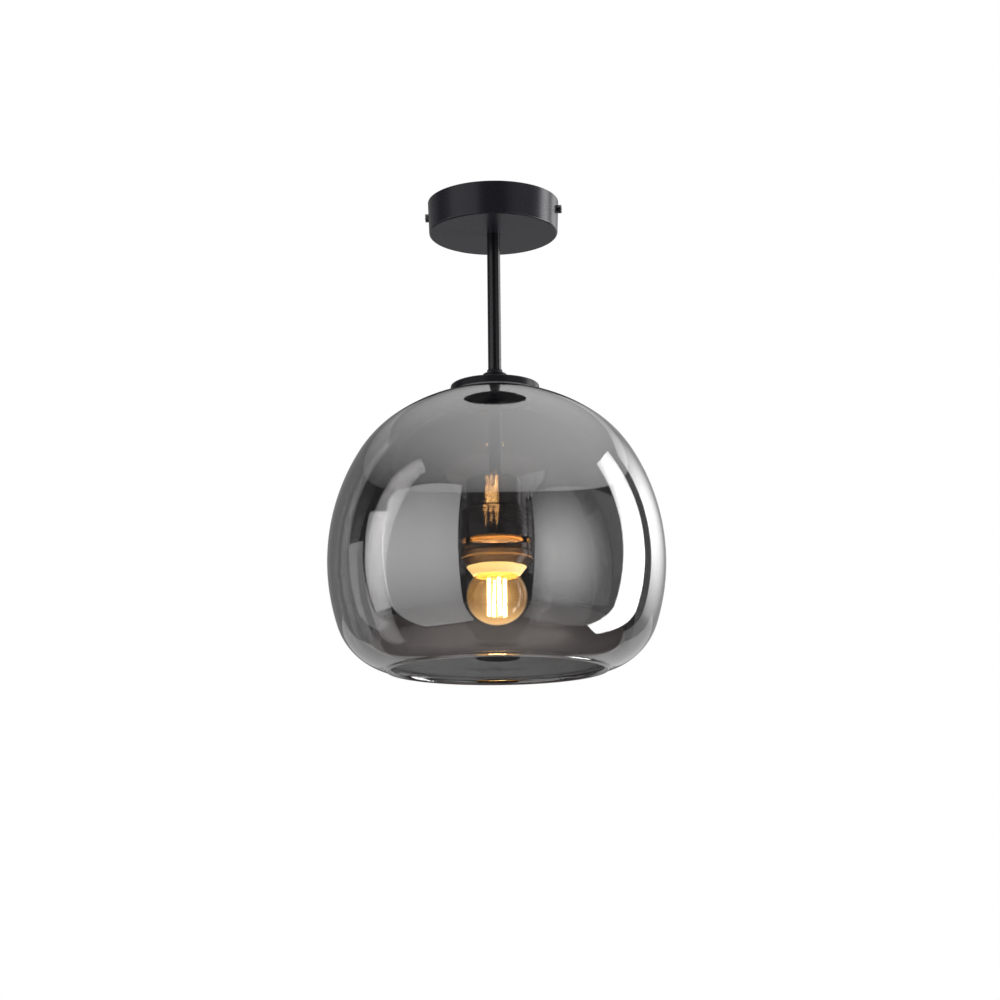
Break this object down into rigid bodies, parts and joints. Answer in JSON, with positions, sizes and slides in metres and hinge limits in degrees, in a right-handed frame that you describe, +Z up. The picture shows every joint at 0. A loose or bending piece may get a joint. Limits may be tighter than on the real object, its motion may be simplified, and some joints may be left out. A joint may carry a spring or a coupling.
{
  "type": "semi-flush ceiling light",
  "caption": "Ceiling light with a round canopy and a short rod that carries an open smoked-glass globe round a bare screw lamp.",
  "frame": {"origin": "middle of the bracket's cable hole, in the ceiling plane", "axes": "+Z up into the ceiling along the rod; +X along the bracket, towards the side screw at the picture's right"},
  "size_m": [0.25, 0.25, 0.3606],
  "materials": {
    "zinc_steel": "zinc plated, satin",
    "screw_black": "satin black",
    "canopy_black": "satin black, fine brushed lines round the side",
    "rod_black": "satin black",
    "cap_black": "satin black",
    "clamp_black": "black oxide",
    "white_nylon": "moulded, matt",
    "brass": "bright pressed brass",
    "tinned_lug": "tinned copper",
    "earth_insulation": "green and yellow insulation",
    "live_insulation": "brown insulation",
    "neutral_insulation": "blue insulation",
    "seal_rubber": "soft black rubber",
    "smoked_glass": "smoked, polished, partly mirrored",
    "holder_black": "moulded black",
    "ring_black": "moulded black, semi-gloss",
    "core_ceramic": "white glaze",
    "lamp_nickel": "drawn and plated",
    "lamp_bead": "dark glass bead",
    "solder": "tinned",
    "driver_board": "green board with a black capacitor",
    "bulb_clear": "clear, faintly warm",
    "collar_frosted": "frosted, lit through by the lamp",
    "stem_clear": "clear",
    "filament_lit": "warm white coating, lit"
  },
  "bodies": {
    "fixture": {"mounting_bracket": "zinc_steel", "canopy_hub": "zinc_steel", "tooth_washer": "zinc_steel", "rod_lock_nut": "zinc_steel", "clamp_screws": "zinc_steel", "block_screw": "zinc_steel", "earth_screw": "zinc_steel", "holder_grub_screw": "zinc_steel", "terminal_screws": "zinc_steel", "canopy": "canopy_black", "rod": "rod_black", "shade_cap": "cap_black", "clamp_plate": "clamp_black", "clamp_nut": "clamp_black", "rod_bush": "white_nylon", "terminal_block": "white_nylon", "terminal_clamps": "brass", "screw_shell": "brass", "centre_contact": "brass", "contact_rivets": "brass", "wire_terminals": "brass", "earth_lug": "tinned_lug", "earth_wire": "earth_insulation", "live_wire": "live_insulation", "neutral_wire": "neutral_insulation", "cap_seal": "seal_rubber", "under_seal": "seal_rubber", "glass_shade": "smoked_glass", "holder_cover": "holder_black", "holder_skirt": "holder_black", "holder_core": "core_ceramic"},
    "lamp_carriage": {"bulb_glass": "bulb_clear", "lamp_collar": "collar_frosted"},
    "lamp": {"lamp_cap": "lamp_nickel", "lamp_insulator": "lamp_bead", "lamp_contact": "solder", "lamp_driver": "driver_board", "bulb_stem": "stem_clear", "bulb_filaments": "filament_lit", "bulb_leads": "solder"},
    "upper_ring": {"shade_ring_upper": "ring_black"},
    "lower_ring": {"shade_ring_lower": "ring_black"},
    "right_screw": {"side_screw_right": "screw_black"},
    "left_screw": {"side_screw_left": "screw_black"}
  },
  "joints": [
    {"name": "lamp_drop", "type": "slide", "parent": "fixture", "child": "lamp_carriage", "axis": [0, 0, -1], "range_m": [0, 0.02]},
    {"name": "lamp_turn", "type": "hinge", "parent": "lamp_carriage", "child": "lamp", "pos_m": [0, 0, -0.265], "axis": [0, 0, -1], "range_deg": [0, 1990]},
    {"name": "upper_ring_slide", "type": "slide", "parent": "fixture", "child": "upper_ring", "axis": [0, 0, 1], "range_m": [-0.0016, 0.0016]},
    {"name": "lower_ring_slide", "type": "slide", "parent": "fixture", "child": "lower_ring", "axis": [0, 0, 1], "range_m": [0, 0.0016]},
    {"name": "right_screw_slide", "type": "slide", "parent": "fixture", "child": "right_screw", "axis": [1, 0, 0], "range_m": [0, 0.008]},
    {"name": "left_screw_slide", "type": "slide", "parent": "fixture", "child": "left_screw", "axis": [-1, 0, 0], "range_m": [0, 0.008]}
  ],
  "couplings": [
    {"joint": "lamp_turn", "follows": "lamp_drop", "rad_per_m": 1731.4}
  ]
}
